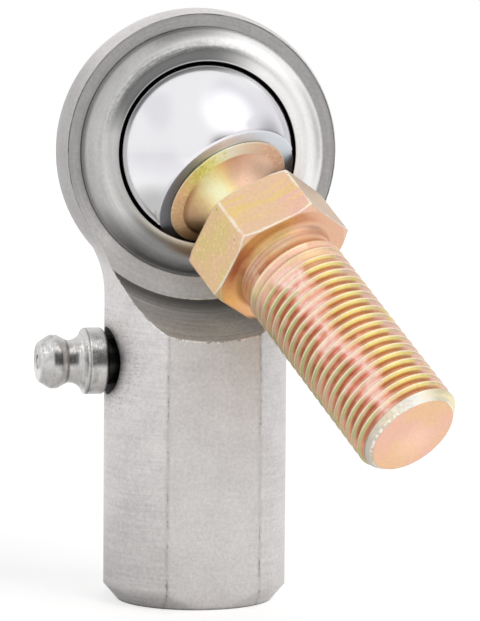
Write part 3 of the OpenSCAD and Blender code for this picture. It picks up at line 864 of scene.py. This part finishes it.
def hexagonWear(f, at, sizes):
    # 1 along the hexagon's edges, with a ragged border
    backZ, frontZ = sizes["hexZ"], sizes["hexZ"] + sizes["hexLength"]
    cornerR = sizes["hexWidth"] / 2 / math.cos(math.radians(30))
    slope = (at.reach - cornerR + 2 * sizes["hexChamfer"]) * 0.5
    hexFront = f.maths("MINIMUM", frontZ, frontZ - slope)
    hexBack = f.most(backZ, backZ + slope)
    fromEdge = f.maths("MINIMUM", (cornerR - at.reach) * 2, hexFront - at.s)
    fromEdge = f.maths("MINIMUM", fromEdge, (at.s - hexBack) * 1.5)
    hexSide = (at.s > 13.9) * (at.s < 20.95) * (at.reach > 7.8) * (abs(f.facing(studAxis)) < 0.8)
    return hexSide * f.step(fromEdge + (at.speck + at.drift - 1) * 0.8, 0.32, 0.06)


def studFinish(sizes):
    f = Finish("yellowZinc")
    at = studPlaces(f)
    frontZ = sizes["hexZ"] + sizes["hexLength"]
    endZ = frontZ + sizes["shoulderLength"] + sizes["threadLength"] + sizes["endAlong"]
    front = f.step(at.s, frontZ - 0.083, frontZ - 0.003)
    # the flange's face is a pale band around the neck's root
    rootR = sizes["neckRootR"]
    band = f.step(at.reach, rootR - 0.04, rootR + 0.06) * (at.s > 7.5) * (at.s < 8.6)
    neck = (at.s > 8.0) * (at.s < 13.95) * (1 - band)
    threaded = f.step(at.s, 22.5, 23.2)
    filmAndShade = f.mix(front, zincFilmAndShade(f, at), hexFaceTone(f, at))
    filmAndShade = f.mix(neck, filmAndShade, neckTone(f, at))
    filmAndShade = f.mix(band, filmAndShade, flangeTone(f, at))
    filmAndShade = f.mix(band * f.step(at.speck, 0.54, 0.66) * 0.5, filmAndShade, tint(255, 252, 230))
    colour = f.mix(threaded, filmAndShade, threadTone(f, at, sizes))
    colour = shoulderLines(f, at, sizes, colour)
    colour = studEnd(f, at, endZ, colour)
    # worn, whitish edges on the hexagon and the flange
    soft, worn = f.edgeWear(0.3 * mm, 0.01, 0.07)
    worn = f.most(worn * (1 - threaded) * (1 - neck), hexagonWear(f, at, sizes))
    colour = f.mix(worn * 0.85, colour, tint(250, 242, 228))
    pits = f.step(f.noise(at.p, 2.1, 0.0), 0.835, 0.87) * (1 - f.step(at.s, 20.8, 20.9))
    shade = (0.84 + at.speck * 0.32) * (1 - pits * 0.4)
    colour = f.mix(1.0, colour, f.grey(shade), "MULTIPLY")
    return f.surface(**{"Base Color": colour, "Metallic": 1.0,
                        "Roughness": 0.34 + at.speck * 0.12 + neck * 0.1 + band * 0.4,
                        "Normal": f.bump(at.streak + at.speck * 0.5, 0.12, 0.02 * mm, soft)})


def fittingFinish():
    f = Finish("platedFitting")
    p = f.place((0, 0, fittingHeight))
    x, y, z = f.axes(p)
    ringed = f.noise(f.vector(x * 4.5, 0, 0), 1.0, 3.0, 0.6)
    speck = f.noise(p, 2.4, 4.0, 0.7)
    stain = f.step(f.noise(p, 0.55, 2.0), 0.50, 0.66)
    rise = z / hypot(y, z)
    streaky = ringed * 0.5 + speck * 0.5
    # a painted dark reflection along the front, broken where the sides turn away, and thin lines of painted
    # shade at the corners
    spans = f.step(x, -13.75, -13.55) + f.step(abs(x + 15.65), 0.75, 0.45) + f.step(abs(x + 17.55), 0.7, 0.4)
    darkReflection = (y < 0) * f.step(abs(rise - 0.2), 0.38, 0.14) * spans
    darkReflection = darkReflection * f.step(streaky, 0.36, 0.54, 0.5, 0.82)
    cornerShade = f.most(f.step(abs(x + 16.3), 0.28, 0.04) * 0.5, f.step(abs(x + 13.8), 0.15, 0.03) * 0.45)
    # painted light: the underside is painted lighter, and a painted highlight runs along the upper side
    shade = (0.24 + ringed * 0.42 + speck * 0.36) * (1 - stain * 0.25) * f.step(rise, -0.1, -0.7, 1.0, 1.3)
    shade = shade * (1 + f.step(abs(rise - 0.55), 0.3, 0.05) * f.step(streaky, 0.48, 0.58) * 0.5)
    shade = shade * (1 - f.most(darkReflection, cornerShade))
    # painted shadow: the part inside the recess is painted nearly black
    shade = shade * f.step(x, -11.45, -11.38, 1.0, 0.05)
    soft, worn = f.edgeWear(0.12 * mm, 0.02, 0.12)
    shade = f.most(shade, worn * 0.7)
    return f.surface(**{"Base Color": f.grey(shade, 0.04), "Metallic": 1.0, "Roughness": 0.3 + speck * 0.14,
                        "Normal": f.bump(ringed + speck, 0.2, 0.02 * mm, soft)})


def valveFinish():
    f = Finish("brightSteel")
    p = f.place()
    haze = f.noise(p, 1.5, 2.0)
    return f.surface(**{"Base Color": f.grey(0.5 + haze * 0.15), "Metallic": 1.0,
                        "Roughness": 0.16 + haze * 0.1})


dress(body, bodyFinish(bodySizes))
dress(race, raceFinish(ringSizes))
dress(ball, ballFinish(ballSizes))
dress(stud, studFinish(studSizes))
dress(fitting, fittingFinish())
valveSteel = valveFinish()
dress(frame["nodes"]["check_ball"], valveSteel)
dress(spring, valveSteel)
print("finishes set")


# the studio: pale floor, one soft lamp, cards for the metal to mirror, and a camera at the photograph's angle

studio = dict(azimuth=14.99, elevation=5.15, roll=0.44, distance=400.0, across=5.25, upwards=-19.34,
              focalPixels=3304.08, imageHeight=621, sensor=36.0, floorSize=3.0, tentLevel=0.42)
lamp = dict(place=(0.32, -0.43, 0.55), size=0.4, power=1.2)
cards = dict(glowCard=dict(place=(0.32, -0.43, 0.55), size=(1.1, 1.1), tone=1.5),
             sideCard=dict(place=(0.34, -0.04, 0.07), size=(0.40, 0.40), tone=0.45),
             frontCard=dict(place=(0.13, -0.50, 0.14), size=(0.34, 0.26), tone=0.2))


def makeCamera(c):
    psi, phi, rho = (math.radians(c[key]) for key in ("azimuth", "elevation", "roll"))
    forward = Vector((math.sin(psi) * math.cos(phi), math.cos(psi) * math.cos(phi), -math.sin(phi)))
    right = Vector((math.cos(psi), -math.sin(psi), 0))
    above = right.cross(forward)
    camRight = math.cos(rho) * right + math.sin(rho) * above
    camUp = -math.sin(rho) * right + math.cos(rho) * above
    spot = ballCentre + mm * (c["across"] * camRight + c["upwards"] * camUp - c["distance"] * forward)
    bpy.ops.object.camera_add()
    camera = bpy.context.object
    camera.matrix_world = Matrix.Translation(spot) @ Matrix((camRight, camUp, -forward)).transposed().to_4x4()
    camera.data.sensor_width = c["sensor"]
    camera.data.lens = c["focalPixels"] * c["sensor"] / c["imageHeight"]
    camera.data.clip_start = 0.01
    scene.camera = camera


def makeFloor(size):
    bpy.ops.object.select_all(action="DESELECT")
    bpy.ops.mesh.primitive_plane_add(size=size, location=(0, 0, 0))
    floor = bpy.context.object
    floor.name = "floor"
    f = Finish("paleFloor")
    spot = f.place()
    x, y = f.along(spot, (1, 0, 0)), f.along(spot, (0, 1, 0))
    # foot is the distance from under the part, aside from a spot on its left
    foot, aside = hypot(x, y), hypot(x + 35, y)
    path = "ShaderNodeLightPath"
    # painted shade: the floor's glow is lower near the part's foot, and for reflections far lower near the
    # spot on its left
    lift = f.node(path, out="Is Camera Ray") * f.step(foot, 40, 400, 0.54, 0.74)
    lift = lift + f.node(path, out="Is Glossy Ray") * f.step(aside, 15, 75, 0.06, 0.54)
    dress(floor, f.surface(**{"Base Color": (0.9, 0.9, 0.9, 1), "Roughness": 0.9, "Specular IOR Level": 0.0,
                              "Emission Color": f.grey(lift), "Emission Strength": 1.0}))


def makeLamp(place, size, power):
    light = bpy.data.lights.new("keyLamp", "AREA")
    light.shape = "RECTANGLE"
    light.size = light.size_y = size
    light.energy = power
    holder = bpy.data.objects.new("keyLamp", light)
    holder.location = place
    holder.rotation_euler = (ballCentre - Vector(place)).to_track_quat("-Z", "Y").to_euler()
    holder.visible_glossy = False
    scene.collection.objects.link(holder)


def makeCard(name, place, size, tone):
    # a studio card that only reflections see
    bpy.ops.object.select_all(action="DESELECT")
    bpy.ops.mesh.primitive_plane_add(size=1, location=place)
    card = bpy.context.object
    card.name = name
    card.scale = (*size, 1)
    card.rotation_euler = (ballCentre - Vector(place)).to_track_quat("Z", "Y").to_euler()
    card.visible_camera = False
    card.visible_shadow = False
    card.visible_diffuse = False
    f = Finish(name)
    spot = f.node("ShaderNodeTexCoord", out="Object")
    x, y = f.along(spot, (1, 0, 0)), f.along(spot, (0, 1, 0))
    dark = f.step(hypot(x, y), 0.5, 0.1)
    dress(card, f.surface(**{"Base Color": (0, 0, 0, 1), "Roughness": 1.0, "Specular IOR Level": 0.0,
                             "Emission Color": f.grey(1 - dark * (1 - tone)), "Emission Strength": 1.0}))


def makeWorld(level):
    world = bpy.data.worlds.new("tent")
    scene.world = world
    f = Finish("tent", world)
    strength = level + f.backgroundRay() * (1 - level)
    tent = f.node("ShaderNodeBackground", None, {"Color": (1, 1, 1, 1), "Strength": strength})
    f.node("ShaderNodeOutputWorld", None, {"Surface": tent})


makeCamera(studio)
makeFloor(studio["floorSize"])
makeWorld(studio["tentLevel"])
makeLamp(**lamp)
for name, card in cards.items():
    makeCard(name, **card)
scene.view_settings.view_transform = "Standard"
print("studio set")
